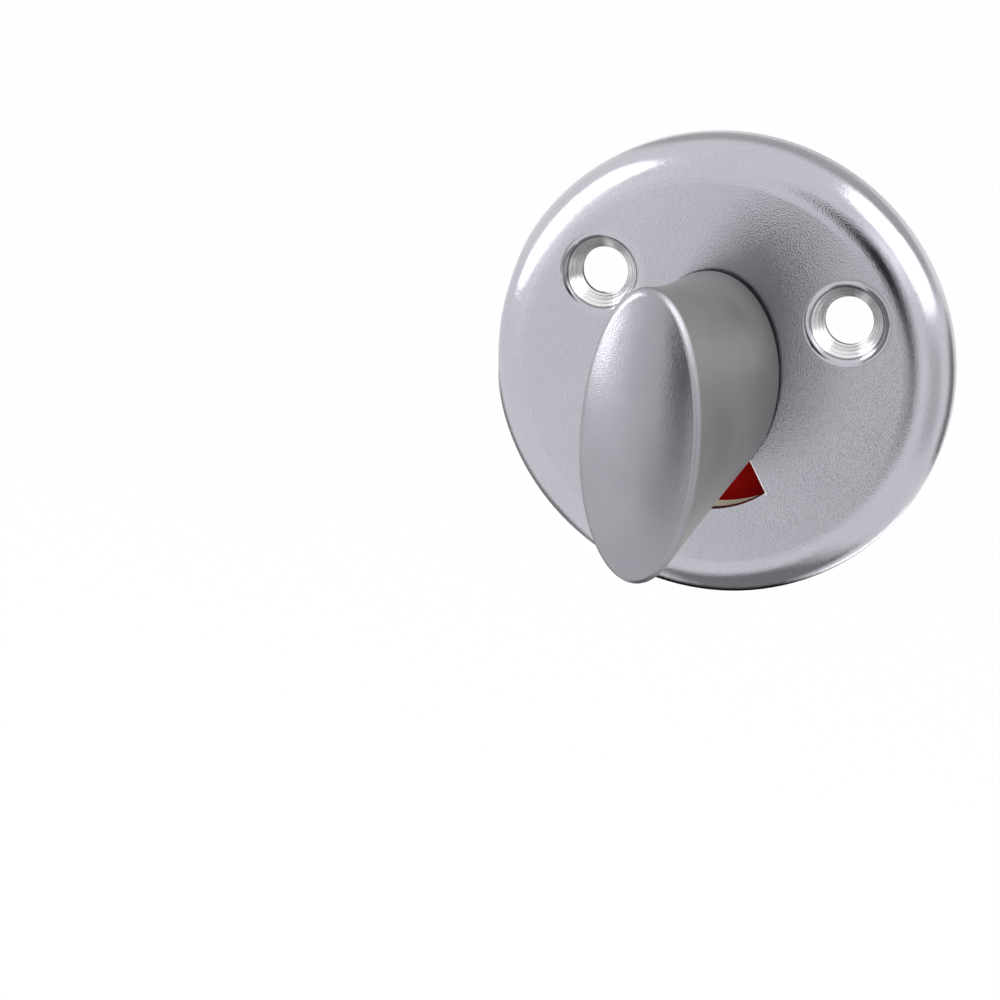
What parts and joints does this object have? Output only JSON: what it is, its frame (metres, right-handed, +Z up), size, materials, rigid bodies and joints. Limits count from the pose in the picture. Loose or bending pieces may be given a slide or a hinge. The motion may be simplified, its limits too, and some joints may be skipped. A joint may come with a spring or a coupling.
{
  "type": "bathroom thumb turn lock",
  "caption": "Round pressed rose with countersunk screw holes, an oval thumb turn on a square spindle and an arc window that shows red when occupied and white when vacant.",
  "frame": {"origin": "on the turning axis, in the plane of the door face that the rose's rim lies on", "axes": "+Z up as fixed on the door, +Y into the door along the spindle, +X to the right as seen from the front"},
  "size_m": [0.054, 0.0824, 0.054],
  "materials": {
    "satin_rose": "fine blasted satin",
    "satin_casting": "smooth satin",
    "black_nylon": "matt moulded",
    "zinc_steel": "zinc plated, drawn",
    "white_plastic": "moulded",
    "red_plastic": "smooth",
    "spring_steel": "phosphated"
  },
  "bodies": {
    "rose": {"rose_plate": "satin_rose", "bearing_bush": "black_nylon"},
    "turn": {"thumb_turn": "satin_casting", "spindle": "zinc_steel", "indicator_disc": "white_plastic", "occupied_field": "red_plastic", "retaining_ring": "spring_steel", "spring_washer": "spring_steel"}
  },
  "joints": [
    {"name": "turn_swing", "type": "hinge", "parent": "rose", "child": "turn", "pos_m": [0, 0, 0], "axis": [0, -1, 0], "range_deg": [0, 76]}
  ]
}
